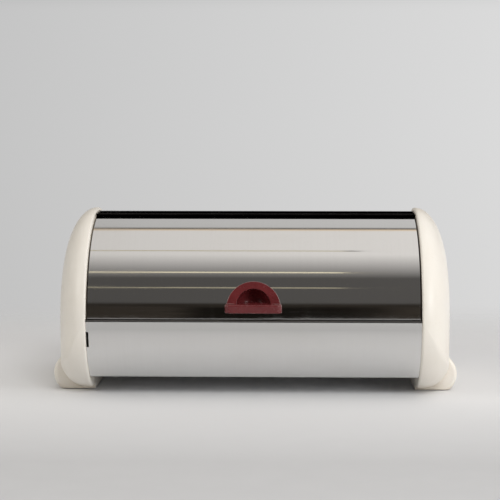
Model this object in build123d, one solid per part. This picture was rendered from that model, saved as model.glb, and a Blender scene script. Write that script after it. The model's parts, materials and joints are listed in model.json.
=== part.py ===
"""Roll-top bread box in millimetres: two domed end panels, a polished steel lid that swings up and
back on two pivots, a steel top and back, a steel apron and floor, and a moulded grip. +Z is up, the
front faces -Y and +X is to the right seen from the front. The origin is the middle of the underside.
"""

import os
from math import asin, cos, degrees, radians, sin, sqrt

from build123d import *

# Overall sizes
HEIGHT = 190.0  # worktop to the crest of the end panels
STEEL_WIDTH = 339.0  # steel that shows between the two end panels
RIM_RADIUS = 112.0  # upper arc of an end panel, about the lid's pivot
OVERRUN = 5.0  # how far every cutting shape runs past the piece that it cuts

# Moulded end panels
PANEL_DEPTH = 34.0  # how far the dome stands out sideways
PANEL_EDGE = 65.0  # width of the rounded border of the dome, seen from the side
PANEL_LOWER_EDGE = 28.0  # of the border that rounds the dome along its lower front arc
PANEL_WALL = 3.2
RIM_ROUND = 2.2  # rounding of the rim's inner edge
RIM_LAND = 2.4  # straight part of the rim before the dome starts to curve
RIM_STAND = 3.4  # how far the rim stands above the fixed steel
DOME_RISE = 6.0  # of the dome's lower edge above the worktop
FOOT_BULGE = 9.5
FOOT_HEIGHT = 36.0
FOOT_WAIST = 19.0  # height of the widest point of the foot
FOOT_TOE = 7.5  # how far the foot draws in at the worktop
FOOT_LEDGE = 0.5  # how far the foot reaches in below the floor
FOOT_FRONT_SETBACK = 64.0  # from the front of the rim
FOOT_BACK_SETBACK = 9.0  # from the back of the rim
FOOT_ROUND = 4.0
FOOT_POCKET_HEIGHT = 13.0
FOOT_POCKET_WALL = 4.0

# Rubber pads under the feet
PAD_STAND = 1.0  # how far a pad stands out of the foot
PAD_SEAT = 1.5  # depth of its recess
PAD_WIDTH = 24.0
PAD_LENGTH = 32.0
PAD_CORNER = 6.0
PAD_PLAY = 0.1
PAD_END_MARGIN = 6.0  # from the pad to the end of the foot

# Inner plates of the end panels
PLATE_SETBACK = 0.3  # behind the face of the rim
PLATE_THICKNESS = 4.0
SEAT_GAP = 0.3  # between the steel and the plate's edge
BOSS_RADIUS = 10.0
BOSS_LENGTH = 12.0

# Screws that hold an inner plate to its panel
SCREW_RADIUS = 1.9
SCREW_HEAD_RADIUS = 3.8
SCREW_HEAD_DEPTH = 2.2
SCREW_LENGTH = 15.0
SCREW_SLOT = 0.9
SCREW_SLOT_DEPTH = 1.0
SCREW_PILLAR_RADIUS = 4.5
SCREW_PLAY = 0.02
SCREW_INSET = 60.0  # of the upper screws from the rim
SCREW_ANGLE = 38.0  # of the upper screws above the level of the pivot
SCREW_LIFT = 24.0  # of the lower screws above the floor

# Steel sheets
SHEET = 0.8
FLOOR_RISE = 19.0  # underside of the floor above the worktop
BEND_RADIUS = 6.0  # outside radius of a folded corner
SHEET_END_GAP = 0.3  # from a sheet's end to the panel's screw pillars
SEAM_LAP = 14.0
SEAM_GAP = 0.1
BEAD_END_GAP = 0.2  # from a rolled edge to the face of a rim
APRON_BEAD_RADIUS = 1.6
APRON_BEAD_RISE = 3.4  # of the bead's middle above the pivot
TOP_HEM_RADIUS = 0.9
TOP_FRONT_ANGLE = 77.5  # of the top's front edge, above the level of the pivot

# Tab slots at the ends of the apron, and the plates' lugs in them
SLOT_HEIGHT = 16.0
SLOT_DROP = 8.0  # from the pivot's level to the top of a slot
SLOT_SHOWN = 2.6  # of the left slot, clear of the rim
LUG_WIDTH = 2.2
LUG_SETBACK = 0.8  # behind the face of the rim
LUG_PLAY = 0.3
LUG_PROUD = 0.1  # of the lug's tip, short of the sheet's outer skin

# Seam rivets
RIVET_RADIUS = 2.0
RIVET_HEAD_RADIUS = 3.6
RIVET_HEAD = 1.0
RIVET_PLAY = 0.03
RIVET_COUNT = 6
RIVET_SPAN_SHARE = 0.86

# Lid
LID_GAP = 1.6  # between the lid and the fixed steel above it
LID_LOW_ANGLE = -3.5  # of the lid's lower end, shut
LID_HIGH_ANGLE = 85.0  # of the lid's upper end, shut
LID_TRAVEL = 62.0
LID_RETURN = 5.0  # stiffening fold along each end of the lid
LID_RETURN_MARGIN = 2.0  # from that fold to a cheek's flange
CHEEK_SHEET = 1.0
CHEEK_FLANGE = 11.0
CHEEK_HUB_RADIUS = 15.0
WELD_GAP = 0.05

# Pivots
PIN_RADIUS = 4.0
PIN_HEAD_RADIUS = 7.0
PIN_HEAD = 3.0
PIN_NOSE = 1.2
PIN_CHAMFER = 0.5
FIT_PLAY = 0.02  # of a pressed fit
RUN_PLAY = 0.05  # of a running fit
SIDE_PLAY = 0.2
BUSH_RADIUS = 6.0
BUSH_FLANGE_RADIUS = 9.5
BUSH_FLANGE = 1.4
BUSH_NOSE = 0.5
CLIP_RADIUS = 8.0
CLIP_SHEET = 0.8
CLIP_NOTCH_RADIUS = 0.8
CLIP_NOTCHES = 4

# Buffers that stop the lid
BUFFER_RADIUS = 5.0
BUFFER_STEM_RADIUS = 2.5
BUFFER_STAND = 4.8  # out of the inner plate
BUFFER_INSET = 42.0  # from the rim
BUFFER_GAP = 0.3
BUFFER_CHAMFER = 0.8

# Grip
GRIP_RADIUS = 27.5
GRIP_PROUD = 1.0
GRIP_DROP = 4.7  # of the half disc's middle below the ledge's top
LIP_WIDTH = 57.5
LIP_HEIGHT = 8.4
LIP_DEPTH = 10.0
LIP_RISE = 12.2  # of the ledge's underside above the pivot
LIP_CORNER = 5.0
LIP_EDGE = 1.2
SCOOP_RADIUS = 17.5
SCOOP_DROP = 2.1  # of the scoop's middle below the ledge's top
SCOOP_WALL = 1.8
SCOOP_PLAY = 0.4
STRIP_WIDTH = 52.0
STRIP_HEIGHT = 5.6
STRIP_SHEET = 1.5
GRIP_SCREW_SPACING = 42.0
GRIP_SCREW_RADIUS = 1.6
GRIP_SCREW_HEAD_RADIUS = 2.7
GRIP_SCREW_HEAD = 1.8
GRIP_SCREW_GRIP = 7.0  # thread inside the ledge

# Radii about the pivot, and of the lower front arc from the pivot's level down to the worktop
LOWER_RADIUS = HEIGHT - RIM_RADIUS
STEEL_RADIUS = RIM_RADIUS - RIM_STAND  # outer skin of the fixed steel
LID_RADIUS = STEEL_RADIUS - SHEET - LID_GAP
LID_INSIDE = LID_RADIUS - SHEET
CHEEK_RADIUS = LID_INSIDE - WELD_GAP

# The pivot and the centre of the lower arc, in the side view's Y and Z
LIP_REACH = LID_RADIUS + LIP_DEPTH
PIVOT_Y = (LIP_REACH - RIM_RADIUS) / 2
PIVOT = (PIVOT_Y, HEIGHT - RIM_RADIUS)
LOWER_CENTRE = (PIVOT_Y - RIM_RADIUS + LOWER_RADIUS, PIVOT[1])

# Planes across the box, at the right-hand end
RIM_X = STEEL_WIDTH / 2
PLATE_IN = RIM_X + PLATE_SETBACK
PLATE_OUT = PLATE_IN + PLATE_THICKNESS
SHEET_END = PLATE_OUT - SHEET_END_GAP
BUSH_OUT = PLATE_IN - SIDE_PLAY
CHEEK_OUT = BUSH_OUT - BUSH_FLANGE
CHEEK_IN = CHEEK_OUT - CHEEK_SHEET
BUSH_IN = CHEEK_IN - BUSH_NOSE
CLIP_OUT = BUSH_IN - SIDE_PLAY
CLIP_IN = CLIP_OUT - CLIP_SHEET
PIN_IN = CLIP_IN - PIN_NOSE
BOSS_END = PLATE_OUT + BOSS_LENGTH
DOME_X = RIM_X + PANEL_DEPTH
FOOT_X = DOME_X + FOOT_BULGE

# Levels and places along the box
SEAM_Z = FLOOR_RISE - SEAM_GAP - SHEET
LEDGE_Z = SEAM_Z - SEAM_GAP
BACK_Y = PIVOT_Y + STEEL_RADIUS
FOOT_FRONT = PIVOT_Y - RIM_RADIUS + FOOT_FRONT_SETBACK
FOOT_BACK = PIVOT_Y + RIM_RADIUS - FOOT_BACK_SETBACK
LIP_BOTTOM = PIVOT[1] + LIP_RISE
LIP_TOP = LIP_BOTTOM + LIP_HEIGHT
SEAT_DEPTH = SHEET + SEAT_GAP  # of the plate's edge, below the steel's outer skin

X_AXIS = (1, 0, 0)
Y_AXIS = (0, 1, 0)
Z_AXIS = (0, 0, 1)


def front_angle(rise):
    """Side-view angle of a place at the front, given as degrees above the pivot's level."""
    return 180 - rise


def polar(centre, radius, angle):
    """Side-view point at a radius and an angle from a centre."""
    return (centre[0] + radius * cos(radians(angle)), centre[1] + radius * sin(radians(angle)))


def along_x(face, x_from, x_to):
    """Solid of a side-view face between two planes across the box."""
    return extrude(Plane.YZ.offset(x_from) * face, amount=x_to - x_from, dir=X_AXIS)


def disc(radius, centre=PIVOT):
    """Side-view disc."""
    return Pos(*centre) * Circle(radius)


def ring_sector(inside, outside, start, sweep):
    """Side-view sector of a ring about the pivot."""
    outer = CenterArc(PIVOT, outside, start, sweep)
    inner = CenterArc(PIVOT, inside, start, sweep)
    return make_face([outer, inner, Line(outer @ 0, inner @ 0), Line(outer @ 1, inner @ 1)])


def turned(points, origin, direction):
    """Solid turned about an axis, from points given as distance along it and radius."""
    normal = Y_AXIS if direction == Z_AXIS else Z_AXIS
    plane = Plane(origin=origin, x_dir=direction, z_dir=normal)
    return revolve(plane * make_face(Polyline(*points, close=True)), axis=Axis(origin, direction))


def block(low, high):
    """Box between two corners."""
    size = [b - a for a, b in zip(low, high)]
    middle = [(a + b) / 2 for a, b in zip(low, high)]
    return Pos(*middle) * Box(*size)


def mirrored(piece):
    """The left-hand twin of a right-hand piece."""
    return mirror(piece, about=Plane.YZ)


def floor_path(depth, top=PIVOT[1]):
    """Edges of the apron and floor at a depth below their outer skin, from the front to the back."""
    outer = LOWER_RADIUS - RIM_STAND
    turn = degrees(asin((PIVOT[1] - FLOOR_RISE - BEND_RADIUS) / (outer - BEND_RADIUS)))
    apron = CenterArc(LOWER_CENTRE, outer - depth, 180, turn)
    corner = polar(LOWER_CENTRE, outer - BEND_RADIUS, 180 + turn)
    bend = CenterArc(corner, BEND_RADIUS - depth, 180 + turn, 90 - turn)
    floor = Line(bend @ 1, (BACK_Y - BEND_RADIUS, FLOOR_RISE + depth))
    if top == PIVOT[1]:
        return [apron, bend, floor]
    return [Line((PIVOT_Y - STEEL_RADIUS + depth, top), apron @ 0), apron, bend, floor]


def back_path(depth):
    """Edges of the top and back at a depth below their outer skin, from the crest to the seam."""
    start = front_angle(TOP_FRONT_ANGLE)
    arc = CenterArc(PIVOT, STEEL_RADIUS - depth, start, -start)
    bend_centre = (BACK_Y - BEND_RADIUS, SEAM_Z + BEND_RADIUS)
    bend = CenterArc(bend_centre, BEND_RADIUS - depth, 0, -90)
    lap = Line(bend @ 1, (BACK_Y - BEND_RADIUS - SEAM_LAP, SEAM_Z + depth))
    return [arc, Line(arc @ 1, bend @ 0), bend, lap]


def bent_sheet(outer, inner):
    """Side-view face of a bent sheet between the edges of its two skins."""
    ends = [Line(outer[0] @ 0, inner[0] @ 0), Line(outer[-1] @ 1, inner[-1] @ 1)]
    return make_face([*outer, *inner, *ends])


def bead(centre, radius, bore=0):
    """Rolled edge of a sheet between the two rims, closed or with a bore."""
    half = RIM_X - BEAD_END_GAP
    face = disc(radius, centre) - disc(bore, centre) if bore else disc(radius, centre)
    return along_x(face, -half, half)


def rivet_places():
    """X of each rivet in the seam."""
    span = STEEL_WIDTH * RIVET_SPAN_SHARE
    return [span * (i / (RIVET_COUNT - 1) - 1 / 2) for i in range(RIVET_COUNT)]


def rivet_y():
    """Y of the line of rivets, half-way along the lap."""
    return BACK_Y - BEND_RADIUS - SEAM_LAP / 2


def seam_holes():
    """Cutters for the rivets' holes in both sheets."""
    low, high = SEAM_Z - OVERRUN, FLOOR_RISE + SHEET + OVERRUN
    radius = RIVET_RADIUS + RIVET_PLAY
    points = [(low, 0), (high, 0), (high, radius), (low, radius)]
    return [turned(points, (x, rivet_y(), 0), Z_AXIS) for x in rivet_places()]


def seam_rivets():
    """Rivets through the lap of the back under the floor, with a head on each side."""
    low, high = SEAM_Z, FLOOR_RISE + SHEET
    points = [
        (low - RIVET_HEAD, 0),
        (low - RIVET_HEAD, RIVET_RADIUS),
        (low, RIVET_HEAD_RADIUS),
        (low, RIVET_RADIUS),
        (high, RIVET_RADIUS),
        (high, RIVET_HEAD_RADIUS),
        (high + RIVET_HEAD, RIVET_RADIUS),
        (high + RIVET_HEAD, 0),
    ]
    return [turned(points, (x, rivet_y(), 0), Z_AXIS) for x in rivet_places()]


def top_and_back_sheet():
    """Fixed steel over the crest and down the back, with a hemmed front edge and a lap at the seam."""
    face = bent_sheet(back_path(0), back_path(SHEET))
    middle = STEEL_RADIUS - SHEET + TOP_HEM_RADIUS
    sheet = along_x(face, -SHEET_END, SHEET_END)
    sheet += bead(polar(PIVOT, middle, front_angle(TOP_FRONT_ANGLE)), TOP_HEM_RADIUS)
    return sheet - seam_holes()


def slot_levels():
    """Lowest and highest Z of the tab slots."""
    top = PIVOT[1] - SLOT_DROP
    return top - SLOT_HEIGHT, top


def slot_cutter(x_from, x_to):
    """Cutter for one tab slot through the apron."""
    low, high = slot_levels()
    front = PIVOT_Y - RIM_RADIUS - OVERRUN
    return block((x_from, front, low), (x_to, LOWER_CENTRE[0], high))


def floor_and_apron_sheet():
    """Steel from the rolled edge below the lid, round the apron and back along the floor."""
    top = PIVOT[1] + APRON_BEAD_RISE
    face = bent_sheet(floor_path(0, top), floor_path(SHEET, top))
    bead_y = PIVOT_Y - STEEL_RADIUS + SHEET - APRON_BEAD_RADIUS
    sheet = along_x(face, -SHEET_END, SHEET_END)
    sheet += bead((bead_y, top), APRON_BEAD_RADIUS, APRON_BEAD_RADIUS - SHEET)
    sheet -= seam_holes()
    lug_in = RIM_X + LUG_SETBACK - LUG_PLAY
    lug_out = RIM_X + LUG_SETBACK + LUG_WIDTH + LUG_PLAY
    sheet -= slot_cutter(-lug_out, SLOT_SHOWN - RIM_X)
    return sheet - slot_cutter(lug_in, lug_out)


def dome(inset, land, bottom):
    """Dome of the right-hand panel with its wall drawn in, down to a level; its rim has a straight land."""
    deep = DOME_X - inset
    curve_x = RIM_X + land

    def border(outline, edge):
        arc = EllipticalCenterArc((curve_x, outline - edge), deep - curve_x, edge, 0, arc_size=90)
        return make_face([arc, Polyline(arc @ 1, (RIM_X, outline), (RIM_X, 0), (deep, 0), arc @ 0)])

    def swept(face, centre, direction, angle):
        level = Plane(origin=(0, *centre), x_dir=X_AXIS, z_dir=(0, 0, -1))
        return revolve(level * face, Axis((0, *centre), direction), angle)

    side = border(RIM_RADIUS - inset, PANEL_EDGE)
    upper = swept(side, PIVOT, (-1, 0, 0), 180)
    plan = Pos(0, PIVOT_Y, bottom) * (side + mirror(side, about=Plane.XZ))
    lower = extrude(plan, amount=PIVOT[1] - bottom)
    corner = block((RIM_X, PIVOT_Y - RIM_RADIUS, bottom), (DOME_X, LOWER_CENTRE[0], PIVOT[1]))
    corner -= swept(border(LOWER_RADIUS - inset, PANEL_LOWER_EDGE), LOWER_CENTRE, X_AXIS, 90)
    return upper + (lower - corner)


def foot():
    """Foot along the bottom of the right-hand panel, with its outward bulge."""
    toe = FOOT_X - FOOT_TOE
    root = (RIM_X + DOME_X) / 2
    shoulder = (DOME_X - PANEL_WALL / 2, FOOT_HEIGHT)
    bulge = ThreePointArc((toe, PAD_STAND), (FOOT_X, FOOT_WAIST), shoulder)
    inner = RIM_X - FOOT_LEDGE
    rest = Polyline(
        bulge @ 1,
        (root, FOOT_HEIGHT),
        (root, LEDGE_Z),
        (inner, LEDGE_Z),
        (inner, PAD_STAND),
        bulge @ 0,
    )
    body = extrude(Plane.XZ.offset(-FOOT_BACK) * make_face([bulge, rest]), amount=FOOT_BACK - FOOT_FRONT)
    ends = body.faces().sort_by(Axis.Y)
    arcs = ends[0].edges().filter_by(GeomType.CIRCLE) + ends[-1].edges().filter_by(GeomType.CIRCLE)
    return fillet(arcs, FOOT_ROUND)


def pad_places():
    """Middle of each pad under the right-hand foot, in X and Y."""
    x = (RIM_X + DOME_X) / 2
    reach = PAD_END_MARGIN + PAD_LENGTH / 2
    return [(x, FOOT_FRONT + reach), (x, FOOT_BACK - reach)]


def pad_solid(place, grow):
    """Rounded pad under a foot, grown all round to cut its recess."""
    outline = RectangleRounded(PAD_WIDTH + 2 * grow, PAD_LENGTH + 2 * grow, PAD_CORNER + grow)
    return extrude(Pos(*place) * outline, amount=PAD_STAND + PAD_SEAT)


def screw_places():
    """Side-view place of each screw of an inner plate."""
    upper = [polar(PIVOT, RIM_RADIUS - SCREW_INSET, angle) for angle in (SCREW_ANGLE, front_angle(SCREW_ANGLE))]
    return upper + [(y, FLOOR_RISE + SCREW_LIFT) for y, z in upper]


def side_shell():
    """Hollow moulded end panel with its rim, foot, pad recesses and screw pillars."""
    outer = dome(0, RIM_LAND, DOME_RISE)
    rim = outer.faces().sort_by(Axis.X)[0].edges().filter_by(lambda edge: edge.bounding_box().size.Z > RIM_ROUND)
    shell = fillet(rim, RIM_ROUND) + foot() - dome(PANEL_WALL, PLATE_OUT - RIM_X, LEDGE_Z)
    front_pad, back_pad = pad_places()
    gap = PAD_LENGTH / 2 + FOOT_POCKET_WALL
    shell -= block(
        (RIM_X + FOOT_POCKET_WALL, front_pad[1] + gap, PAD_STAND - OVERRUN),
        (DOME_X - FOOT_POCKET_WALL, back_pad[1] - gap, PAD_STAND + FOOT_POCKET_HEIGHT),
    )
    shell -= [pad_solid(place, PAD_PLAY) for place in pad_places()]
    for place in screw_places():
        shell += along_x(disc(SCREW_PILLAR_RADIUS, place), PLATE_OUT, DOME_X - PANEL_WALL / 2)
    for place in screw_places():
        shell -= along_x(disc(SCREW_RADIUS + SCREW_PLAY, place), PLATE_OUT, PLATE_IN + SCREW_LENGTH)
    return shell


def plate_outline():
    """Side-view face of an inner plate, which lies just inside the steel."""
    front = floor_path(SEAT_DEPTH)
    corner_centre = (BACK_Y - BEND_RADIUS, FLOOR_RISE + BEND_RADIUS)
    corner = CenterArc(corner_centre, BEND_RADIUS - SEAT_DEPTH, 270, 90)
    arc = CenterArc(PIVOT, STEEL_RADIUS - SEAT_DEPTH, 0, 180)
    return make_face([*front, corner, Line(corner @ 1, arc @ 0), arc])


def plate_lug():
    """Lug on the plate's front edge that locks the apron."""
    low, high = slot_levels()
    inside = LOWER_RADIUS - RIM_STAND - SEAT_DEPTH - SHEET
    outside = LOWER_RADIUS - RIM_STAND - LUG_PROUD
    ring = disc(outside, LOWER_CENTRE) - disc(inside, LOWER_CENTRE)
    start = RIM_X + LUG_SETBACK
    front = PIVOT_Y - RIM_RADIUS - OVERRUN
    window = block((start, front, low + LUG_PLAY), (start + LUG_WIDTH, LOWER_CENTRE[0], high - LUG_PLAY))
    return along_x(ring, start, start + LUG_WIDTH) & window


def countersunk(grow):
    """Points of a plate screw about its own axis, from its head's face, grown to cut its hole."""
    head = SCREW_HEAD_RADIUS + grow
    shank = SCREW_RADIUS + grow
    start = PLATE_IN
    end = PLATE_IN + SCREW_LENGTH
    return [(start, 0), (start, head), (start + SCREW_HEAD_DEPTH, shank), (end, shank), (end, 0)]


def inner_plate():
    """Plate that closes an end panel and carries the pivot pin, the buffers and the apron's lug."""
    plate = along_x(plate_outline(), PLATE_IN, PLATE_OUT) + plate_lug()
    plate += along_x(disc(BOSS_RADIUS), PLATE_OUT, BOSS_END)
    plate -= along_x(disc(PIN_RADIUS + FIT_PLAY), PLATE_IN - OVERRUN, BOSS_END + OVERRUN)
    plate -= [turned(countersunk(SCREW_PLAY), (0, *place), X_AXIS) for place in screw_places()]
    stem = BUFFER_STEM_RADIUS + FIT_PLAY
    for place in buffer_places():
        plate -= along_x(disc(stem, place), PLATE_IN - OVERRUN, PLATE_OUT + OVERRUN)
    return plate


def plate_screws():
    """Countersunk screws of one inner plate, each with a driver slot."""
    screws = []
    for y, z in screw_places():
        slot = block(
            (PLATE_IN - OVERRUN, y - OVERRUN, z - SCREW_SLOT / 2),
            (PLATE_IN + SCREW_SLOT_DEPTH, y + OVERRUN, z + SCREW_SLOT / 2),
        )
        screws.append(turned(countersunk(0), (0, y, z), X_AXIS) - slot)
    return screws


def pivot_pin():
    """Headed pin through the plate's boss, on which the lid turns."""
    points = [
        (PIN_IN, 0),
        (PIN_IN, PIN_RADIUS - PIN_CHAMFER),
        (PIN_IN + PIN_CHAMFER, PIN_RADIUS),
        (BOSS_END, PIN_RADIUS),
        (BOSS_END, PIN_HEAD_RADIUS),
        (BOSS_END + PIN_HEAD, PIN_HEAD_RADIUS),
        (BOSS_END + PIN_HEAD, 0),
    ]
    return turned(points, (0, *PIVOT), X_AXIS)


def pivot_bush():
    """Flanged bush in the lid's cheek, running on the pin."""
    bore = PIN_RADIUS + RUN_PLAY
    points = [
        (BUSH_IN, bore),
        (BUSH_IN, BUSH_RADIUS),
        (CHEEK_OUT, BUSH_RADIUS),
        (CHEEK_OUT, BUSH_FLANGE_RADIUS),
        (BUSH_OUT, BUSH_FLANGE_RADIUS),
        (BUSH_OUT, bore),
    ]
    return turned(points, (0, *PIVOT), X_AXIS)


def retaining_clip():
    """Push-on clip at the pin's nose, notched into teeth round its bore."""
    bore = PIN_RADIUS + FIT_PLAY
    face = disc(CLIP_RADIUS) - disc(bore)
    step = 360 / CLIP_NOTCHES
    for i in range(CLIP_NOTCHES):
        face -= disc(CLIP_NOTCH_RADIUS, polar(PIVOT, bore, i * step))
    return along_x(face, CLIP_IN, CLIP_OUT)


def buffer_places():
    """Side-view place of the buffers that meet a cheek's edges, shut and open."""
    reach = RIM_RADIUS - BUFFER_INSET
    lead = degrees(asin((BUFFER_RADIUS + BUFFER_GAP) / reach))
    shut = front_angle(LID_LOW_ANGLE - lead)
    opened = front_angle(LID_HIGH_ANGLE + LID_TRAVEL + lead)
    return [polar(PIVOT, reach, angle) for angle in (shut, opened)]


def lid_buffers():
    """Rubber buffers of one end, each plugged into the inner plate by its stem."""
    face_x = PLATE_IN - BUFFER_STAND
    points = [
        (face_x, 0),
        (face_x, BUFFER_RADIUS - BUFFER_CHAMFER),
        (face_x + BUFFER_CHAMFER, BUFFER_RADIUS),
        (PLATE_IN, BUFFER_RADIUS),
        (PLATE_IN, BUFFER_STEM_RADIUS),
        (PLATE_OUT, BUFFER_STEM_RADIUS),
        (PLATE_OUT, 0),
    ]
    return [turned(points, (0, *place), X_AXIS) for place in buffer_places()]


def lid_sweep():
    """Side-view start angle and sweep of the lid's arc, shut."""
    return front_angle(LID_LOW_ANGLE), LID_LOW_ANGLE - LID_HIGH_ANGLE


def scoop(grow):
    """Part of a ball, the finger scoop above the ledge, grown for its wall or its clearance."""
    radius = SCOOP_RADIUS + grow
    y = PIVOT_Y - sqrt(LID_RADIUS**2 - (LIP_TOP - PIVOT[1]) ** 2)
    ball = Pos(0, y, LIP_TOP - SCOOP_DROP) * Sphere(radius)
    return ball & block((-radius, y - radius, LIP_TOP - grow), (radius, y + radius, LIP_TOP + radius))


def grip_screw_places():
    """X and Z of the grip's screws."""
    z = LIP_BOTTOM + STRIP_HEIGHT / 2
    return [(side * GRIP_SCREW_SPACING / 2, z) for side in (-1, 1)]


def grip_screw_seat():
    """Y at which a screw's head meets the curved inner face of the backing strip."""
    rise = LIP_RISE + STRIP_HEIGHT / 2 + GRIP_SCREW_HEAD_RADIUS
    return PIVOT_Y - sqrt((LID_INSIDE - WELD_GAP - STRIP_SHEET) ** 2 - rise**2)


def grip_screw_holes(radius):
    """Cutters along the grip's screws, as deep as their thread reaches into the ledge."""
    face = grip_screw_seat()
    reach = SHEET + STRIP_SHEET + GRIP_SCREW_GRIP
    points = [(-reach, 0), (OVERRUN, 0), (OVERRUN, radius), (-reach, radius)]
    return [turned(points, (x, face, z), Y_AXIS) for x, z in grip_screw_places()]


def lid_sheet():
    """Curved lid with a stiffening fold along each end and openings for the grip."""
    start, sweep = lid_sweep()
    lid = along_x(ring_sector(LID_INSIDE, LID_RADIUS, start, sweep), -CHEEK_OUT, CHEEK_OUT)
    fold = degrees(SHEET / LID_INSIDE)
    fold_in = LID_INSIDE - LID_RETURN
    half = CHEEK_OUT - CHEEK_FLANGE - LID_RETURN_MARGIN
    lid += along_x(ring_sector(fold_in, LID_INSIDE, start, -fold), -half, half)
    lid += along_x(ring_sector(fold_in, LID_INSIDE, start + sweep, fold), -half, half)
    lid -= scoop(SCOOP_WALL + SCOOP_PLAY)
    return lid - grip_screw_holes(GRIP_SCREW_RADIUS + SCREW_PLAY)


def lid_cheek():
    """Sector of sheet at the lid's right-hand end, flanged under the lid and bored for the bush."""
    start, sweep = lid_sweep()
    rim = CenterArc(PIVOT, CHEEK_RADIUS, start, sweep)
    face = make_face([rim, Line(rim @ 1, PIVOT), Line(PIVOT, rim @ 0)])
    face = face + disc(CHEEK_HUB_RADIUS) - disc(BUSH_RADIUS + FIT_PLAY)
    flange = ring_sector(CHEEK_RADIUS - CHEEK_SHEET, CHEEK_RADIUS, start, sweep)
    return along_x(face, CHEEK_IN, CHEEK_OUT) + along_x(flange, CHEEK_OUT - CHEEK_FLANGE, CHEEK_OUT)


def grip_half_disc():
    """Half disc of the grip, bent to the lid."""
    angle = degrees(asin((LIP_TOP - GRIP_DROP - PIVOT[1]) / LID_RADIUS))
    y, z = polar(PIVOT, LID_RADIUS, front_angle(angle))
    out = (0, -cos(radians(angle)), sin(radians(angle)))
    arc = CenterArc((0, 0), GRIP_RADIUS, 0, 180)
    face = Plane(origin=(0, y, z), x_dir=X_AXIS, z_dir=out) * make_face([arc, Line(arc @ 1, arc @ 0)])
    column = extrude(face, amount=SCOOP_RADIUS, both=True)
    skin = disc(LID_RADIUS + GRIP_PROUD) - disc(LID_RADIUS)
    return column & along_x(skin, -LIP_WIDTH, LIP_WIDTH)


def grip_ledge():
    """Ledge of the grip, rounded at its front corners and edges."""
    half = LIP_WIDTH / 2
    front = PIVOT_Y - LIP_REACH
    ledge = block((-half, front, LIP_BOTTOM), (half, PIVOT_Y - LID_RADIUS + LIP_DEPTH, LIP_TOP))
    corners = ledge.edges().filter_by(Axis.Z).sort_by(Axis.Y)[:2]
    ledge = fillet(corners, LIP_CORNER)
    faces = ledge.faces().filter_by(Axis.Z)
    ledge = fillet(faces.edges().filter_by(lambda e: e.center().Y < PIVOT_Y - LID_RADIUS), LIP_EDGE)
    return ledge - along_x(disc(LID_RADIUS), -LIP_WIDTH, LIP_WIDTH)


def grip():
    """Moulded grip: half disc, ledge and finger scoop, with blind holes for its screws."""
    wall = scoop(SCOOP_WALL) & along_x(disc(LID_RADIUS + GRIP_PROUD), -LIP_WIDTH, LIP_WIDTH)
    body = grip_half_disc() + grip_ledge() + wall - scoop(0)
    return body - grip_screw_holes(GRIP_SCREW_RADIUS + SCREW_PLAY)


def grip_backing_strip():
    """Curved strip behind the lid, clamped by the grip's screws."""
    outer = LID_INSIDE - WELD_GAP
    skin = disc(outer) - disc(outer - STRIP_SHEET)
    half = STRIP_WIDTH / 2
    band = block(
        (-half, PIVOT_Y - RIM_RADIUS, LIP_BOTTOM),
        (half, PIVOT_Y, LIP_BOTTOM + STRIP_HEIGHT),
    )
    strip = along_x(skin, -half, half) & band
    return strip - grip_screw_holes(GRIP_SCREW_RADIUS + SCREW_PLAY)


def grip_screws():
    """Pan-head screws from inside the lid into the ledge."""
    face = grip_screw_seat()
    tip = SHEET + STRIP_SHEET + GRIP_SCREW_GRIP
    points = [
        (-tip, 0),
        (-tip, GRIP_SCREW_RADIUS),
        (0, GRIP_SCREW_RADIUS),
        (0, GRIP_SCREW_HEAD_RADIUS),
        (GRIP_SCREW_HEAD, GRIP_SCREW_HEAD_RADIUS),
        (GRIP_SCREW_HEAD, 0),
    ]
    return [turned(points, (x, face, z), Y_AXIS) for x, z in grip_screw_places()]


def pieces():
    """Every piece of the box by name: one solid, or a list of separate solids."""
    right = {
        "side_shell": side_shell(),
        "inner_plate": inner_plate(),
        "plate_screws": plate_screws(),
        "pivot_pin": pivot_pin(),
        "pivot_bush": pivot_bush(),
        "retaining_clip": retaining_clip(),
        "lid_buffers": lid_buffers(),
        "lid_cheek": lid_cheek(),
        "foot_pads": [pad_solid(place, 0) for place in pad_places()],
    }
    named = {
        "top_and_back_sheet": top_and_back_sheet(),
        "floor_and_apron_sheet": floor_and_apron_sheet(),
        "seam_rivets": seam_rivets(),
        "lid_sheet": lid_sheet(),
        "lid_grip": grip(),
        "grip_backing_strip": grip_backing_strip(),
        "grip_screws": grip_screws(),
    }
    for name, piece in right.items():
        named["right_" + name] = piece
        twin = [mirrored(one) for one in piece] if isinstance(piece, list) else mirrored(piece)
        named["left_" + name] = twin
    return named


def main():
    os.makedirs("parts", exist_ok=True)
    for name, piece in pieces().items():
        solids = piece if isinstance(piece, list) else [piece]
        export_step(Compound(children=solids), os.path.join("parts", name + ".step"))


main()
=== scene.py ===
"""Looks of the roll-top bread box: the camera, the studio and the material of every piece.

Lengths are in metres in the part's own frame: +Z is up, the front faces -Y and +X is to the right.
Colours are linear, and the scales of patterns are per metre.
"""

import json
from math import cos, pi, radians, sin

import bpy
from mathutils import Matrix, Vector


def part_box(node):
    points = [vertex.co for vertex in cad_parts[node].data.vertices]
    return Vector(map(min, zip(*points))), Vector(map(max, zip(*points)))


# Black lines painted on the steel as shade and dark reflection: node, axis, corner of its box, and each
# line's bounds from that corner
PAINTED_SHADE_LINES = (
    ("top_and_back_sheet", 1, 0, ((0.0, 0.0024),)),
    ("floor_and_apron_sheet", 2, 1, ((0.0, 0.0007), (0.0017, 0.0024))),
)
LINE_FADE = 0.0002

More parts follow.
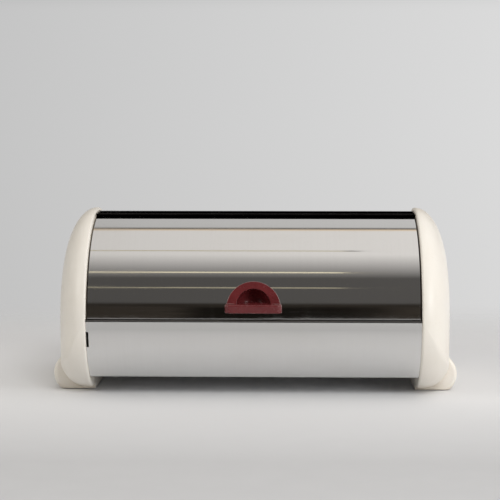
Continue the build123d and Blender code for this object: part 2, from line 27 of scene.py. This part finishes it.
# Colours of the materials
CREAM = (0.800, 0.765, 0.705)
CREAM_AGED = (0.775, 0.730, 0.660)
CREAM_FLECK = (0.690, 0.635, 0.540)
# Darker, browner cream painted into the corners as shade
CREAM_CORNER_SHADE = (0.560, 0.470, 0.350)
STEEL = (0.730, 0.726, 0.718)
STEEL_HAIR = (0.716, 0.711, 0.704)
STEEL_SMEAR = (0.668, 0.654, 0.630)
# Black painted on the steel as shade and dark reflection along a hem and a bead
SHADE_BLACK = (0.010, 0.009, 0.009)
SHADE_BLACK_UNEVEN = (0.022, 0.020, 0.019)
BURGUNDY = (0.125, 0.018, 0.020)
BURGUNDY_DEEP = (0.098, 0.013, 0.015)
BURGUNDY_FLECK = (0.170, 0.040, 0.040)
# Pale colour painted along the grip's edges as a highlight
BURGUNDY_PAINTED_HIGHLIGHT = (0.620, 0.520, 0.500)
RUBBER = (0.020, 0.020, 0.021)
RUBBER_DUST = (0.070, 0.067, 0.063)
NYLON = (0.720, 0.700, 0.640)
NYLON_CLOUD = (0.630, 0.610, 0.550)
FASTENER = (0.600, 0.595, 0.585)
FASTENER_FILM = (0.470, 0.455, 0.435)
PAPER = (0.532, 0.536, 0.546)
PAPER_GRAIN = (0.520, 0.524, 0.534)
# Paper colour where light is painted onto the floor
PAPER_PAINTED_LIGHT = (0.760, 0.766, 0.780)

# Roughness of the materials, from the glossiest to the dullest spot
CREAM_ROUGHNESS = (0.32, 0.46)
SHADE_LINE_ROUGHNESS = (0.28, 0.42)
BURGUNDY_ROUGHNESS = (0.21, 0.31)
RUBBER_ROUGHNESS = (0.70, 0.90)
NYLON_ROUGHNESS = (0.42, 0.58)
FASTENER_ROUGHNESS = (0.22, 0.42)

# Roughness of the bright steel, and what smears, wipes and long hairlines add to it
STEEL_ROUGHNESS = 0.050
SMEAR_ROUGHNESS = 0.055
WIPE_ROUGHNESS = 0.035
HAIR_ROUGHNESS = 0.03
SMEAR_TINT = 0.25  # share of its colour that a smear shows

# Painted shade in the corners of the cream panels: its reach, how open a corner is where it is full and
# where it ends, and its most
CORNER_SHADE_REACH = 0.012
CORNER_SHADE_OPENNESS = (0.25, 0.80)
CORNER_SHADE_MOST = 0.55
OCCLUSION_SAMPLES = 6

# Rounding of a panel's edges, and of the crease low on its front with the bounds where it fades
EDGE_RADIUS = 0.0012
CREASE_RADIUS = 0.009
CREASE_OUT = (0.180, 0.187)
CREASE_FRONT = (-0.045, -0.030)
CREASE_LOW = (0.034, 0.042)
CREASE_HIGH = (0.075, 0.095)
BEVEL_SAMPLES = 8

# Painted highlight along the grip's edges: their rounding, the height of the scoop's middle, how far
# from it the highlight starts and is full, and the match of the rounded and the flat normal at which it
# starts and is full
GRIP_EDGE_RADIUS = 0.0008
SCOOP_Z = 0.0965
EDGE_HIGHLIGHT_REACH = (0.0185, 0.0205)
EDGE_HIGHLIGHT_MATCH = (0.97, 0.78)

# Camera, fitted to the photograph's frame
FRAME_PIXELS = 500
FOCAL_PIXELS = 1343.8
SENSOR_WIDTH = 36.0  # millimetres, as a camera's sensor is stated
CAMERA_PLACE = (0.03133, -1.44707, 0.27087)
CAMERA_YAW = 1.482  # degrees to the left of straight ahead
CAMERA_PITCH = 5.0  # degrees below the horizon

# Plain zones of the studio round the box
ROOM_GREY = (0.64, 0.64, 0.64)
FLOOR_BOUNCE = (0.45, 0.44, 0.42)
DARK_FRONT = (0.03, 0.025, 0.02)
DIM_WALL = (0.10, 0.095, 0.09)
SOFT_LIGHT = (0.86, 0.83, 0.80)
WARM_RIM = (0.90, 0.72, 0.52)
CEILING = (0.64, 0.63, 0.62)
BLACK_FLAG = (0.0, 0.0, 0.0)

# Where they lie: elevation in degrees, from the front horizon over the top to the back
STUDIO_ZONES = (
    (-180.0, ROOM_GREY),
    (-90.0, FLOOR_BOUNCE),
    (-10.0, FLOOR_BOUNCE),
    (-2.0, DARK_FRONT),
    (15.0, DARK_FRONT),
    (16.0, DIM_WALL),
    (45.0, DIM_WALL),
    (75.0, SOFT_LIGHT),
    (113.0, SOFT_LIGHT),
    (115.0, WARM_RIM),
    (118.0, DIM_WALL),
    (121.0, CEILING),
    (146.0, CEILING),
    (149.0, BLACK_FLAG),
    (171.0, BLACK_FLAG),
)
BACKDROP_FROM = 175.0

# Thin warm strips in the studio: elevation and half width in degrees, and how bright
STRIP_COLOUR = (1.0, 0.9, 0.65)
STUDIO_STRIPS = (
    (33.6, 0.7, 0.5),
    (51.8, 0.8, 1.1),
    (80.3, 0.8, 0.6),
)
STRIP_CORE = 0.5  # share of its half width over which a strip is full
STRIP_END = 0.046  # sideways slope at which a strip stops being lit
STRIP_TAIL = 0.057  # sideways slope at which its dark tail stops
STRIP_FADE = 0.002  # slope over which either fades

# Smudges on the dark front: elevations in degrees where they fade in and out, the shade from the middle
# to the sides, and the scale, levels and shade of the patches
SMUDGE_BOTTOM = (-3.0, -1.0)
SMUDGE_TOP = (11.0, 12.0)
SMUDGE_SLOPES = (0.062, 0.085, 0.30, 1.30)
SMUDGE_SCALE = (22.0, 60.0, 1.0)
SMUDGE_PATCHES = (0.35, 0.65, 0.6, 1.5)

# How much brighter the studio gets towards the right, per unit of slope, and the limits of that
SIDE_GAIN = 0.6
SIDE_GAIN_LEAST = 0.75
SIDE_GAIN_MOST = 1.30
LEAST_REACH = 0.001  # keeps the slope finite straight to the side

# Lamps: place, width, power in watts and colour
KEY_LAMP = ((1.40, -1.10, 0.55), 0.6, 13.0, (1.0, 1.0, 1.0))
FILL_LAMP = ((-1.50, -1.05, 0.95), 0.9, 9.4, (1.0, 0.970, 0.900))
FRONT_LAMP = ((0.55, -1.70, 1.55), 0.7, 15.2, (1.0, 0.995, 0.985))
LAMP_AIM = (0.0, 0.0, 0.09)

FLOOR_NEAR = -2.6
FLOOR_SIDE = 2.6
FLOOR_PAINTED_LIGHT = (-0.36, -0.10)  # where the painted light on the floor starts and is brightest
FLOOR_FADE = (0.22, 0.70)  # where the floor starts and ends to melt into the backdrop
FLOOR_FAR = 0.75


def join(tree, value, target):
    """Links a socket to an input, or sets the input to a value."""
    if isinstance(value, bpy.types.NodeSocket):
        tree.links.new(value, target)
    elif target.type == "RGBA":
        target.default_value = (*value, 1)
    else:
        target.default_value = value


def put(tree, kind, inputs=None, **settings):
    """Adds a node, sets it up, and feeds each input from a socket or a value."""
    node = tree.nodes.new(kind)
    for name, value in settings.items():
        setattr(node, name, value)
    for name, value in (inputs or {}).items():
        join(tree, value, node.inputs[name])
    return node


def calc(tree, operation, *values):
    """Result of a math node on up to three values or sockets."""
    inputs = dict(enumerate(values))
    return put(tree, "ShaderNodeMath", inputs, operation=operation).outputs[0]


def vector_calc(tree, operation, *values, result="Vector"):
    """Result of a vector math node on one or two vectors."""
    inputs = dict(enumerate(values))
    return put(tree, "ShaderNodeVectorMath", inputs, operation=operation).outputs[result]


def split(tree, vector):
    """The three coordinates of a vector."""
    return put(tree, "ShaderNodeSeparateXYZ", {"Vector": vector}).outputs


def grey(tree, value):
    """Colour with one value in its three channels."""
    return put(tree, "ShaderNodeCombineXYZ", {"X": value, "Y": value, "Z": value}).outputs[0]


def remap(tree, value, low, high, to_low, to_high, smooth=False):
    """Value mapped from one range to another, held at its ends."""
    inputs = {"Value": value, "From Min": low, "From Max": high, "To Min": to_low, "To Max": to_high}
    kind = "SMOOTHSTEP" if smooth else "LINEAR"
    return put(tree, "ShaderNodeMapRange", inputs, interpolation_type=kind).outputs["Result"]


def blend(tree, factor, first, second, mode="MIX"):
    """Mix of two colours."""
    inputs = {0: factor, 6: first, 7: second}
    return put(tree, "ShaderNodeMix", inputs, data_type="RGBA", blend_type=mode).outputs[2]


def ramp(tree, factor, stops):
    """Colour ramp through stops of place and colour."""
    node = put(tree, "ShaderNodeValToRGB", {"Fac": factor})
    elements = node.color_ramp.elements
    while len(elements) < len(stops):
        elements.new(1.0)
    for element, (place, colour) in zip(elements, stops):
        element.position = place
        element.color = (*colour, 1)
    return node.outputs["Color"]


def place_of(tree, stretch=(1, 1, 1)):
    """Place on the piece in the part's frame, stretched along each axis."""
    coords = put(tree, "ShaderNodeTexCoord").outputs["Object"]
    return put(tree, "ShaderNodeMapping", {"Vector": coords, "Scale": stretch}).outputs["Vector"]


def noise(tree, vector, scale, detail=3.0, roughness=0.55):
    """Grey noise at a scale."""
    inputs = {"Vector": vector, "Scale": scale, "Detail": detail, "Roughness": roughness}
    return put(tree, "ShaderNodeTexNoise", inputs).outputs["Fac"]


def streaks(tree, stretch, detail=3.0, roughness=0.55):
    """Noise with its own scale along each axis, drawn out along the smaller ones."""
    return noise(tree, place_of(tree, stretch), 1.0, detail, roughness)


def patches(tree, vector, scale, levels, detail=3.0, to=(0.0, 1.0)):
    """Noise at a scale, with a span of its levels stretched to a range."""
    return remap(tree, noise(tree, vector, scale, detail), *levels, *to)


def bump(tree, height, strength, distance, normal=None):
    """Normal bent by a height."""
    inputs = {"Height": height, "Strength": strength, "Distance": distance}
    if normal is not None:
        inputs["Normal"] = normal
    return put(tree, "ShaderNodeBump", inputs).outputs["Normal"]


def soft_edge(tree, radius):
    """Normal that rounds the piece's sharp edges over a radius."""
    node = put(tree, "ShaderNodeBevel", {"Radius": radius}, samples=BEVEL_SAMPLES)
    return node.outputs["Normal"]


def crease_radius(tree, place):
    """Radius of a panel's edges, larger over the moulded crease low on its front."""
    at = split(tree, place)
    near = remap(tree, calc(tree, "ABSOLUTE", at["X"]), *CREASE_OUT, 0.0, 1.0)
    for axis, bounds, ends in (
        ("Y", CREASE_FRONT, (1.0, 0.0)),
        ("Z", CREASE_LOW, (0.0, 1.0)),
        ("Z", CREASE_HIGH, (1.0, 0.0)),
    ):
        near = calc(tree, "MULTIPLY", near, remap(tree, at[axis], *bounds, *ends))
    return calc(tree, "MULTIPLY_ADD", near, CREASE_RADIUS - EDGE_RADIUS, EDGE_RADIUS)


def edge_highlight_mask(tree, normal):
    """How far a rounded normal leaves the flat one: 1 along a rounded edge, where the highlight is
    painted, and 0 elsewhere.
    """
    flat = put(tree, "ShaderNodeNewGeometry").outputs["Normal"]
    match = vector_calc(tree, "DOT_PRODUCT", normal, flat, result="Value")
    return remap(tree, match, *EDGE_HIGHLIGHT_MATCH, 0.0, 1.0)


def new_material(name):
    """Material with its node tree and its main shader."""
    made = bpy.data.materials.new(name)
    made.use_nodes = True
    return made, made.node_tree, made.node_tree.nodes["Principled BSDF"]


def feed(tree, shader, **sockets):
    """Links sockets or sets values on the shader, with underscores for the spaces in its names."""
    for name, value in sockets.items():
        join(tree, value, shader.inputs[name.replace("_", " ")])


def cream_plastic():
    """Warm cream moulding: cloudy tint, a little yellowing, painted shade in the corners and a fine
    skin.
    """
    made, tree, shader = new_material("cream_plastic")
    place = place_of(tree)
    cloud = patches(tree, place, 14.0, detail=4.0, levels=(0.35, 0.70))
    tint = blend(tree, cloud, CREAM, CREAM_AGED)
    fleck = patches(tree, place, 420.0, detail=2.0, levels=(0.66, 0.74), to=(0.0, 0.35))
    tint = blend(tree, fleck, tint, CREAM_FLECK)
    inputs = {"Distance": CORNER_SHADE_REACH}
    corner = put(tree, "ShaderNodeAmbientOcclusion", inputs, samples=OCCLUSION_SAMPLES).outputs["AO"]
    # Painted shade: the tint goes darker and browner where ambient occlusion finds a corner
    tint = blend(tree, remap(tree, corner, *CORNER_SHADE_OPENNESS, CORNER_SHADE_MOST, 0.0), tint, CREAM_CORNER_SHADE)
    wave = noise(tree, place, 22.0, detail=2.0)
    skin = noise(tree, place, 1500.0, detail=2.0)
    normal = soft_edge(tree, crease_radius(tree, place))
    normal = bump(tree, wave, strength=0.10, distance=0.0010, normal=normal)
    normal = bump(tree, skin, strength=0.05, distance=0.0003, normal=normal)
    gloss = patches(tree, place, 55.0, detail=5.0, levels=(0.30, 0.75), to=CREAM_ROUGHNESS)
    feed(tree, shader, Base_Color=tint, Roughness=gloss, Normal=normal, Specular_IOR_Level=0.35)
    return made


def polished_steel(name="polished_steel"):
    """Bright rolled sheet: hairlines round the curve, wiped smears and a slight wave in the sheet."""
    made, tree, shader = new_material(name)
    hair = streaks(tree, (900.0, 6.0, 6.0), roughness=0.7)
    long_hair = streaks(tree, (3.0, 700.0, 700.0), roughness=0.7)
    smear = streaks(tree, (9.0, 22.0, 22.0), detail=5.0, roughness=0.6)
    wipe = streaks(tree, (60.0, 4.0, 4.0), roughness=0.6)
    wave = streaks(tree, (5.0, 11.0, 11.0), detail=2.0, roughness=0.4)
    smear = remap(tree, smear, 0.42, 0.72, 0.0, 1.0, smooth=True)
    wipe = remap(tree, wipe, 0.55, 0.75, 0.0, 1.0, smooth=True)
    tint = blend(tree, remap(tree, hair, 0.35, 0.75, 0.0, 1.0), STEEL, STEEL_HAIR)
    tint = blend(tree, calc(tree, "MULTIPLY", smear, SMEAR_TINT), tint, STEEL_SMEAR)
    gloss = calc(tree, "MULTIPLY_ADD", smear, SMEAR_ROUGHNESS, STEEL_ROUGHNESS)
    gloss = calc(tree, "MULTIPLY_ADD", wipe, WIPE_ROUGHNESS, gloss)
    long_hair = remap(tree, long_hair, 0.55, 0.80, 0.0, 1.0)
    gloss = calc(tree, "MULTIPLY_ADD", long_hair, HAIR_ROUGHNESS, gloss)
    normal = bump(tree, wave, strength=0.014, distance=0.0015)
    normal = bump(tree, hair, strength=0.002, distance=0.0002, normal=normal)
    feed(tree, shader, Base_Color=tint, Metallic=1.0, Roughness=gloss, Normal=normal)
    return made


def shade_lined_steel(node, axis, corner, lines):
    """Bright sheet of a node, with black painted along the lines of a hem or a bead as shade and dark
    reflection.
    """
    made = polished_steel("shade_lined_" + node)
    tree = made.node_tree
    shader = tree.nodes["Principled BSDF"]
    along = split(tree, place_of(tree))[axis]
    off = calc(tree, "ABSOLUTE", calc(tree, "SUBTRACT", along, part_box(node)[corner][axis]))
    shade_line = 0.0
    for near, far in lines:
        rise = remap(tree, off, near - LINE_FADE, near, 0.0, 1.0)
        line = calc(tree, "MULTIPLY", rise, remap(tree, off, far, far + LINE_FADE, 1.0, 0.0))
        shade_line = calc(tree, "MAXIMUM", line, shade_line)
    patchy = remap(tree, streaks(tree, (40.0, 300.0, 300.0), detail=4.0), 0.30, 0.70, 0.0, 1.0)
    black = blend(tree, patchy, SHADE_BLACK, SHADE_BLACK_UNEVEN)
    tint = shader.inputs["Base Color"].links[0].from_socket
    gloss = shader.inputs["Roughness"].links[0].from_socket
    dull = remap(tree, patchy, 0.0, 1.0, *SHADE_LINE_ROUGHNESS)
    gloss = calc(tree, "MULTIPLY_ADD", shade_line, calc(tree, "SUBTRACT", dull, gloss), gloss)
    # Painted shade and dark reflection: black laid over the steel's colour along each line
    feed(tree, shader, Base_Color=blend(tree, shade_line, tint, black), Roughness=gloss)
    return made


def burgundy_plastic():
    """Dark red moulding with a cloudy depth, dust flecks and a pale painted highlight along its edges
    away from its scoop.
    """
    made, tree, shader = new_material("burgundy_plastic")
    place = place_of(tree)
    cloud = noise(tree, place, 70.0, detail=4.0)
    tint = blend(tree, remap(tree, cloud, 0.35, 0.70, 0.0, 1.0), BURGUNDY, BURGUNDY_DEEP)
    fleck = patches(tree, place, 900.0, detail=2.0, levels=(0.66, 0.74), to=(0.0, 0.25))
    tint = blend(tree, fleck, tint, BURGUNDY_FLECK)
    rounded = soft_edge(tree, GRIP_EDGE_RADIUS)
    away = vector_calc(tree, "SUBTRACT", place, (0.0, 0.0, SCOOP_Z))
    away = vector_calc(tree, "MULTIPLY", away, (1.0, 0.0, 1.0))
    away = vector_calc(tree, "LENGTH", away, result="Value")
    uneven = remap(tree, cloud, 0.30, 0.60, 0.35, 0.85)
    highlight = calc(tree, "MULTIPLY", edge_highlight_mask(tree, rounded), uneven)
    highlight = calc(tree, "MULTIPLY", highlight, remap(tree, away, *EDGE_HIGHLIGHT_REACH, 0.0, 1.0))
    # Painted highlight: pale colour laid along the rounded edges, uneven with the cloud
    tint = blend(tree, highlight, tint, BURGUNDY_PAINTED_HIGHLIGHT)
    wave = noise(tree, place, 60.0, detail=2.0)
    skin = noise(tree, place, 2200.0, detail=2.0)
    normal = bump(tree, wave, strength=0.12, distance=0.0006, normal=rounded)
    normal = bump(tree, skin, strength=0.06, distance=0.0002, normal=normal)
    gloss = patches(tree, place, 160.0, detail=4.0, levels=(0.30, 0.75), to=BURGUNDY_ROUGHNESS)
    feed(tree, shader, Base_Color=tint, Roughness=gloss, Normal=normal)
    return made


def black_rubber():
    """Matt rubber with a dusty bloom."""
    made, tree, shader = new_material("black_rubber")
    place = place_of(tree)
    dust = patches(tree, place, 190.0, detail=5.0, levels=(0.45, 0.75), to=(0.0, 0.5))
    tint = blend(tree, dust, RUBBER, RUBBER_DUST)
    skin = noise(tree, place, 1800.0, detail=2.0)
    normal = bump(tree, skin, strength=0.20, distance=0.0003)
    gloss = patches(tree, place, 260.0, levels=(0.30, 0.70), to=RUBBER_ROUGHNESS)
    feed(tree, shader, Base_Color=tint, Roughness=gloss, Normal=normal)
    return made


def natural_nylon():
    """Milky nylon with turning marks."""
    made, tree, shader = new_material("natural_nylon")
    place = place_of(tree)
    cloud = patches(tree, place, 240.0, levels=(0.30, 0.70))
    tint = blend(tree, cloud, NYLON, NYLON_CLOUD)
    marks = streaks(tree, (4000.0, 300.0, 300.0))
    normal = bump(tree, marks, strength=0.12, distance=0.0002)
    gloss = patches(tree, place, 400.0, levels=(0.30, 0.70), to=NYLON_ROUGHNESS)
    feed(tree, shader, Base_Color=tint, Roughness=gloss, Normal=normal)
    return made


def plain_steel():
    """Plain bright steel of the small fastenings, with tool marks and a dull film."""
    made, tree, shader = new_material("plain_steel")
    film = patches(tree, place_of(tree), 260.0, detail=5.0, levels=(0.40, 0.70))
    tint = blend(tree, film, FASTENER, FASTENER_FILM)
    gloss = remap(tree, film, 0.0, 1.0, *FASTENER_ROUGHNESS)
    marks = streaks(tree, (500.0, 3500.0, 3500.0), detail=2.0)
    normal = bump(tree, marks, strength=0.08, distance=0.0002)
    feed(tree, shader, Base_Color=tint, Metallic=1.0, Roughness=gloss, Normal=normal)
    return made


def paper_floor():
    """Pale paper, with light painted on it that grows towards the box, that melts into the backdrop
    behind the box.
    """
    made, tree, shader = new_material("paper_floor")
    place = place_of(tree)
    depth = split(tree, place)["Y"]
    grain = patches(tree, place, 30.0, detail=4.0, levels=(0.30, 0.70))
    tint = blend(tree, grain, PAPER, PAPER_GRAIN)
    # Painted light: the paper gets paler from 0.36 m to 0.10 m in front of the middle and stays palest
    # behind
    tint = blend(tree, remap(tree, depth, *FLOOR_PAINTED_LIGHT, 0.0, 1.0), tint, PAPER_PAINTED_LIGHT)
    feed(tree, shader, Base_Color=tint, Roughness=0.75, Specular_IOR_Level=0.2)
    fade = remap(tree, depth, *FLOOR_FADE, 0.0, 1.0, smooth=True)
    clear = put(tree, "ShaderNodeBsdfTransparent").outputs[0]
    mixed = put(tree, "ShaderNodeMixShader", {0: fade, 1: shader.outputs[0], 2: clear}).outputs[0]
    tree.links.new(mixed, tree.nodes["Material Output"].inputs["Surface"])
    return made


def dress(mesh, material):
    """Gives a mesh one material in place of what it has."""
    mesh.materials.clear()
    mesh.materials.append(material)


def dress_nodes(frame):
    """Gives every CAD node the material of its slot in the record, and two sheets their black lines of
    painted shade.
    """
    makers = {
        "cream_panel": cream_plastic,
        "polished_steel": polished_steel,
        "burgundy_grip": burgundy_plastic,
        "rubber": black_rubber,
        "nylon": natural_nylon,
        "fastener_steel": plain_steel,
    }
    made = {slot: maker() for slot, maker in makers.items()}
    for entry in frame["record"]["subparts"]:
        dress(frame["nodes"][entry["node"]].data, made[entry["material_slot"]])
    for node, axis, corner, lines in PAINTED_SHADE_LINES:
        dress(frame["nodes"][node].data, shade_lined_steel(node, axis, corner, lines))


def set_camera():
    """Camera at the photograph's place and direction."""
    data = bpy.data.cameras.new("camera")
    data.sensor_width = SENSOR_WIDTH
    data.lens = SENSOR_WIDTH * FOCAL_PIXELS / FRAME_PIXELS
    camera = bpy.data.objects.new("camera", data)
    bpy.context.scene.collection.objects.link(camera)
    yaw, pitch = radians(CAMERA_YAW), radians(CAMERA_PITCH)
    ahead = Vector((-sin(yaw) * cos(pitch), cos(yaw) * cos(pitch), -sin(pitch)))
    right = Vector((cos(yaw), sin(yaw), 0))
    up = right.cross(ahead)
    turn = Matrix((right, up, -ahead)).transposed().to_4x4()
    camera.matrix_world = Matrix.Translation(CAMERA_PLACE) @ turn
    bpy.context.scene.camera = camera


def add_strips(tree, colour, angle, slope):
    """Studio colour with the thin strips, which end towards the right in a short dark tail."""
    lit = remap(tree, slope, STRIP_END - STRIP_FADE, STRIP_END, 1.0, 0.0)
    shown = remap(tree, slope, STRIP_TAIL - STRIP_FADE, STRIP_TAIL, 1.0, 0.0)
    for middle, half, level in STUDIO_STRIPS:
        off = calc(tree, "ABSOLUTE", calc(tree, "SUBTRACT", angle, radians(middle)))
        mask = remap(tree, off, radians(half) * STRIP_CORE, radians(half), 1.0, 0.0)
        strip_colour = tuple(level * part for part in STRIP_COLOUR)
        end_colour = blend(tree, lit, DIM_WALL, strip_colour)
        colour = blend(tree, calc(tree, "MULTIPLY", mask, shown), colour, end_colour)
    return colour


def add_smudges(tree, colour, angle, slope):
    """Studio colour with uneven smudges on the dark front, darker in the middle than at the sides."""
    rise = remap(tree, angle, *map(radians, SMUDGE_BOTTOM), 0.0, 1.0)
    low = calc(tree, "MULTIPLY", remap(tree, angle, *map(radians, SMUDGE_TOP), 1.0, 0.0), rise)
    flat = put(tree, "ShaderNodeCombineXYZ", {"X": slope, "Y": angle}).outputs[0]
    flat = put(tree, "ShaderNodeMapping", {"Vector": flat, "Scale": SMUDGE_SCALE}).outputs[0]
    patch = remap(tree, noise(tree, flat, 1.0), *SMUDGE_PATCHES)
    aside = remap(tree, calc(tree, "ABSOLUTE", slope), *SMUDGE_SLOPES)
    shade = grey(tree, calc(tree, "MULTIPLY", aside, patch))
    return blend(tree, low, colour, blend(tree, 1.0, colour, shade, mode="MULTIPLY"))


def set_studio():
    """World of plain soft zones round the box, brighter towards the right."""
    world = bpy.data.worlds.new("studio")
    bpy.context.scene.world = world
    world.use_nodes = True
    tree = world.node_tree
    ray = split(tree, put(tree, "ShaderNodeTexCoord").outputs["Generated"])
    angle = calc(tree, "ARCTAN2", ray["Z"], calc(tree, "MULTIPLY", ray["Y"], -1.0))
    upright = put(tree, "ShaderNodeCombineXYZ", {"Y": ray["Y"], "Z": ray["Z"]}).outputs[0]
    reach = vector_calc(tree, "LENGTH", upright, result="Value")
    slope = calc(tree, "DIVIDE", ray["X"], calc(tree, "MAXIMUM", reach, LEAST_REACH))

    stops = [((elevation + 180) / 360, colour) for elevation, colour in STUDIO_ZONES]
    zones = ramp(tree, remap(tree, angle, -pi, pi, 0.0, 1.0), stops)
    last = STUDIO_ZONES[-1][0]
    behind = remap(tree, angle, radians(last), radians(BACKDROP_FROM), 0.0, 1.0, smooth=True)
    colour = blend(tree, behind, zones, ROOM_GREY)
    colour = add_strips(tree, colour, angle, slope)
    colour = add_smudges(tree, colour, angle, slope)
    gain = calc(tree, "MULTIPLY_ADD", slope, SIDE_GAIN, 1.0)
    gain = calc(tree, "MINIMUM", calc(tree, "MAXIMUM", gain, SIDE_GAIN_LEAST), SIDE_GAIN_MOST)
    colour = blend(tree, 1.0, colour, grey(tree, gain), mode="MULTIPLY")
    tree.links.new(colour, tree.nodes["Background"].inputs["Color"])


def set_lamp(name, place, width, power, colour, mirrored=True):
    """Square soft lamp that faces the box, and may be kept out of the steel's reflections."""
    data = bpy.data.lights.new(name, "AREA")
    data.size = width
    data.energy = power
    data.color = colour
    lamp = bpy.data.objects.new(name, data)
    lamp.location = place
    lamp.visible_glossy = mirrored
    lamp.rotation_euler = (Vector(LAMP_AIM) - Vector(place)).to_track_quat("-Z", "Y").to_euler()
    bpy.context.scene.collection.objects.link(lamp)


def set_floor():
    """Flat pale floor under the box."""
    corners = [
        (-FLOOR_SIDE, FLOOR_NEAR, 0),
        (FLOOR_SIDE, FLOOR_NEAR, 0),
        (FLOOR_SIDE, FLOOR_FAR, 0),
        (-FLOOR_SIDE, FLOOR_FAR, 0),
    ]
    mesh = bpy.data.meshes.new("floor")
    mesh.from_pydata(corners, [], [(0, 1, 2, 3)])
    mesh.materials.append(paper_floor())
    floor = bpy.data.objects.new("floor", mesh)
    bpy.context.scene.collection.objects.link(floor)


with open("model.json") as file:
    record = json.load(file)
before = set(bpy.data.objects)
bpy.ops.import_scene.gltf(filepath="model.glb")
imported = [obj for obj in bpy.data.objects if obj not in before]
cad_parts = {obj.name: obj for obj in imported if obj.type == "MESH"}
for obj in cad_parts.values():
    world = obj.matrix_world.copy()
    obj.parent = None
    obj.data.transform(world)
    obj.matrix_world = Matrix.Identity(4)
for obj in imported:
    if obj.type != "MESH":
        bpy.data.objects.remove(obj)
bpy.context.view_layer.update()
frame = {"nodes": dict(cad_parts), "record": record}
bpy.context.scene.view_settings.view_transform = "Standard"
dress_nodes(frame)
set_camera()
set_studio()
set_lamp("key", *KEY_LAMP)
set_lamp("fill", *FILL_LAMP)
set_lamp("front", *FRONT_LAMP, mirrored=False)
set_floor()
